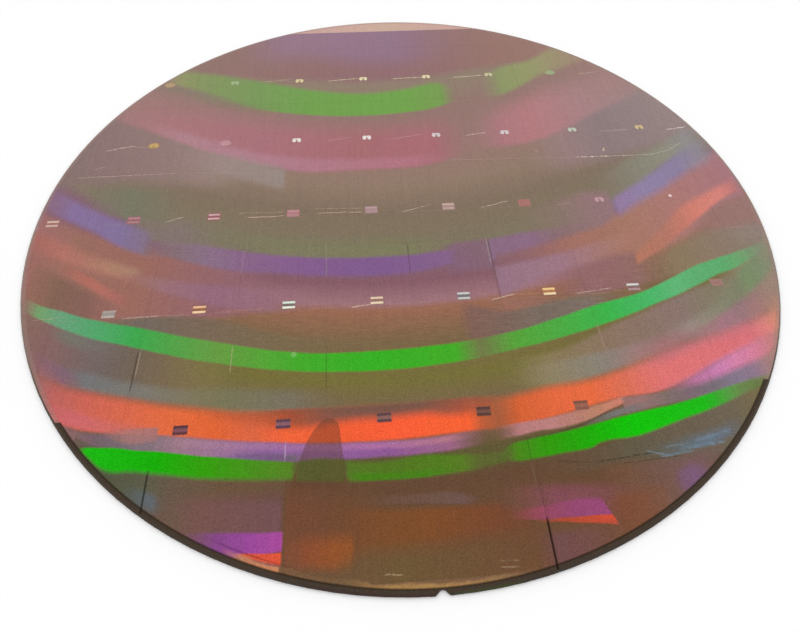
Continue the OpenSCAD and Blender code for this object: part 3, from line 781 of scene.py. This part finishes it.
def marks():
    """A mark at the foot of each field: two spots or two bars, some of them on a ground."""
    tree = Group("marks", "x", "y")
    x, y, color = tree.given
    x = tree.minus(x, FIELD_X)
    y = tree.minus(y, FIELD_Y)
    in_field = tree.math("FLOORED_MODULO", x, FIELD_W)
    side = tree.math("ABSOLUTE", tree.minus(in_field, MARK_X))
    rise = tree.minus(tree.math("FLOORED_MODULO", y, FIELD_H), MARK_Y)
    height = tree.math("ABSOLUTE", rise)

    def within(value, half):
        return tree.rise(value, half, half - EDGE)

    middle = (BAR_GAP + BAR_H) / 2
    along_bar = within(side, BAR_W / 2)
    upper = tree.times(along_bar, tree.line(rise, middle, PAINT_H))
    lower = tree.times(along_bar, tree.line(rise, -middle, PAINT_H))
    block = tree.times(along_bar, within(height, BAR_GAP / 2 + BAR_H))
    pad = tree.times(within(side, PAD_W / 2), within(height, PAD_H / 2))
    across = tree.scaled(side, 1 / SPOT_W, -SPOT_OUT / SPOT_W)
    up = tree.times(rise, 1 / SPOT_H)
    rounds = tree.squares(across, up)
    inside = tree.rise(side, SPOT_OUT + EDGE / 2, SPOT_OUT - EDGE / 2)
    bridge = tree.times(inside, tree.line(rise, BRIDGE, BRIDGE))
    spots = tree.math("MAXIMUM", tree.rise(rounds, *SPOT_FADE), bridge)
    oval = tree.math("ADD", tree.times(side, side, BLOB_X), tree.times(height, height, BLOB_Y))
    blob = tree.rise(oval, *BLOB_FADE)

    layers = [(number, items, ((2, blob), (1, spots))) for number, items in SPOTS.items()]
    for number, items in BARS.items():
        ground = pad if number == PAD_ROW else block
        layers.append((number, items, ((3, ground), (1, upper), (2, lower))))
    column = tree.scaled(x, 1 / (FIELD_W * COLUMNS), 0.5)
    row = tree.math("FLOOR", tree.math("DIVIDE", y, FIELD_H))
    for number, items, shapes in layers:
        here = tree.math("COMPARE", row, number, 0.4)
        for part, shape in shapes:
            shown, strength = tree.ramp(column, by_column(items, part), constant=True)
            color = tree.mix(tree.times(shape, here, strength), color, shown)
    return tree.done(color)


def seams():
    """Hairlines along some of the streets."""
    tree = Group("seams", "x", "y")
    x, y, color = tree.given
    for street, top, bottom, width, strength, code in SEAMS:
        stretch = tree.between(y, bottom, top, SEAM_FADE)
        amount = tree.times(tree.line(x, street, width), stretch, strength)
        color = tree.mix(amount, color, code)
    return tree.done(color)


def level_on(tree, spot, x, y):
    """Level of a place on the face, with small waves, as its share of the span."""
    across = tree.minus(x, ARC_X)
    up = tree.minus(y, ARC_Y)
    away = tree.math("SQRT", tree.squares(across, up))
    level = tree.scaled(away, -1 / (2 * SPAN), share(ARC_Y - WAVES / 2))
    return tree.scaled(tree.noise(spot, WAVE_SCALE), WAVES / (2 * SPAN), level)


def grain_on(tree, spot, x, level, blotches):
    """Brightness of the face: fine grain, blotches, threads and a stretch of hatching."""
    fine = tree.minus(tree.noise(spot, FINE_SCALE, 1.0), 0.5)
    lower = tree.rise(level, share(GRAIN_FROM), share(GRAIN_TO))
    strength = tree.scaled(lower, GRAIN_LOWER - GRAIN_UPPER, GRAIN_UPPER)
    grain = tree.scaled(fine, strength, GRAIN_MIDDLE)
    grain = tree.scaled(blotches, BLOTCH_GRAIN, grain)
    threads = tree.noise(tree.stretched(spot, THREAD_SCALE), 1.0, 1.0)
    grain = tree.scaled(threads, THREAD_GRAIN, grain)
    hatch = tree.minus(tree.noise(tree.stretched(spot, HATCH_SCALE), 1.0, 2.0), 0.5)
    soft = share(HATCH_SOFT) - share(0)
    rows = tree.between(level, *(share(height) for height in HATCH_LEVELS), soft)
    columns = tree.between(x, *HATCH_STRETCH)
    return tree.math("ADD", grain, tree.times(hatch, rows, columns, HATCH_GRAIN))


def face_material():
    """Thin films of the printed fields: arcs of painted diffraction colour with a painted shadow wedge,
    streets, painted glints, marks and fine grain.
    """
    tree = Material("printed_face")
    spot, x, y = tree.place()
    level = level_on(tree, spot, x, y)
    color, _ = tree.ramp(level, [(share(height), code) for height, code in reversed(BASE)])
    for item in BANDS:
        color = tree.use(band(*item), x=x, level=level, under=color)
    patchy = tree.rise(tree.noise(spot, PATCH_SCALE, 3.0), *PATCH_FADE)
    shake = tree.noise(spot, SHAKE_SCALE)
    whole = tree.rise(tree.noise(spot, BREAK_SCALE, 1.0), *BREAK_FADE)
    broken = tree.scaled(whole, 1 - BREAK_LEAST, BREAK_LEAST)
    color = tree.use(streets(), x=x, y=y, patchy=patchy, shake=shake, broken=broken, under=color)
    color = tree.use(marks(), x=x, y=y, under=color)
    radius = tree.math("SQRT", tree.squares(x, y))
    wobble = tree.noise(tree.stretched(spot, WOBBLE_SCALE), 1.0)
    color = tree.use(unprinted(), x=x, y=y, radius=radius, wobble=wobble, under=color)
    color = tree.use(seams(), x=x, y=y, under=color)
    blotches = tree.noise(spot, BLOTCH_SCALE, 3.0, 0.6)
    color = tree.shade(color, grain_on(tree, spot, x, level, blotches))
    roughness = tree.scaled(blotches, BLOTCH_ROUGH, FACE_ROUGH)
    tree.surface(color, metallic=1.0, roughness=roughness, flat=True)
    return tree.material


def rim_material():
    """Polished silicon of the bevels, the nose and the notch, with a painted dark reflection that makes it
    darker towards the notch.
    """
    tree = Material("polished_rim")
    spot, x, y = tree.place()
    # Painted reflection: dark at the bottom, pale at the top
    stops = [(0, "3a3028"), (0.2, "463b31"), (0.3, "7a6a60"), (1, "b09a8c")]
    color, _ = tree.ramp(tree.scaled(y, 1 / (2 * WAFER_R), 0.5), stops)
    low = tree.rise(y, *TINT_GROW)
    for left, right, code in RIM_TINTS:
        amount = tree.times(low, tree.between(x, left, right, TINT_FADE), TINT_STRENGTH)
        color = tree.mix(amount, color, code)
    smudges = tree.noise(spot, SMUDGE_SCALE, 3.0)
    color = tree.shade(color, tree.scaled(smudges, 0.3, 0.85))
    tree.surface(color, metallic=0.7, roughness=0.25)
    return tree.material


def back_material():
    """Lapped grey back with faint cloudy marks."""
    tree = Material("lapped_back")
    spot, _, _ = tree.place()
    clouds = tree.noise(spot, CLOUD_SCALE, 4.0)
    grit = tree.noise(spot, GRIT_SCALE, 2.0)
    color, _ = tree.ramp(clouds, [(0.3, "76767a"), (0.7, "8a8a8d")])
    color = tree.shade(color, tree.scaled(grit, 0.16, 0.92))
    tree.surface(color, metallic=0.8, roughness=tree.scaled(grit, 0.15, 0.4), flat=True)
    return tree.material


def dress(wafer):
    """Gives the printed face, the rim and the back their materials."""
    wafer.data.materials.clear()
    for material in (face_material(), rim_material(), back_material()):
        wafer.data.materials.append(material)
    face_low = (WAFER_T - PRINT_DEPTH) * MM
    for polygon in wafer.data.polygons:
        if polygon.center.z > face_low and polygon.normal.z > FLAT:
            polygon.material_index = FACE
        elif polygon.normal.z < -FLAT:
            polygon.material_index = BACK
        else:
            polygon.material_index = RIM


def camera():
    """A camera that sees the wafer as the photograph does."""
    turn = Matrix.Rotation(math.radians(VIEW_AZIMUTH), 4, "Z")
    turn @= Matrix.Rotation(math.radians(90 - VIEW_ELEVATION), 4, "X")
    turn @= Matrix.Rotation(math.radians(VIEW_ROLL), 4, "Z")
    away = Matrix.Translation((0, 0, VIEW_DISTANCE * MM))
    data = bpy.data.cameras.new("camera")
    data.sensor_width = SENSOR
    data.lens = LENS
    data.clip_start = CLIP_START
    item = bpy.data.objects.new("camera", data)
    item.matrix_world = Matrix.Translation(Vector(VIEW_TARGET) * MM) @ turn @ away
    bpy.context.collection.objects.link(item)
    bpy.context.scene.camera = item


def stage():
    """White floor under even white light."""
    world = bpy.data.worlds.new("studio")
    world.use_nodes = True
    light = world.node_tree.nodes["Background"]
    light.inputs["Color"].default_value = (1, 1, 1, 1)
    light.inputs["Strength"].default_value = WORLD_LIGHT
    bpy.context.scene.world = world
    bpy.ops.mesh.primitive_plane_add(size=FLOOR_SIZE, location=(0, 0, -FLOOR_GAP * MM))
    floor = bpy.context.object
    floor.name = "floor"
    tree = Material("floor_white")
    tree.surface(FLOOR_COLOR, metallic=0.0, roughness=0.9)
    floor.data.materials.append(tree.material)


bpy.context.scene.view_settings.view_transform = "Standard"
camera()
stage()
dress(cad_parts["wafer"])
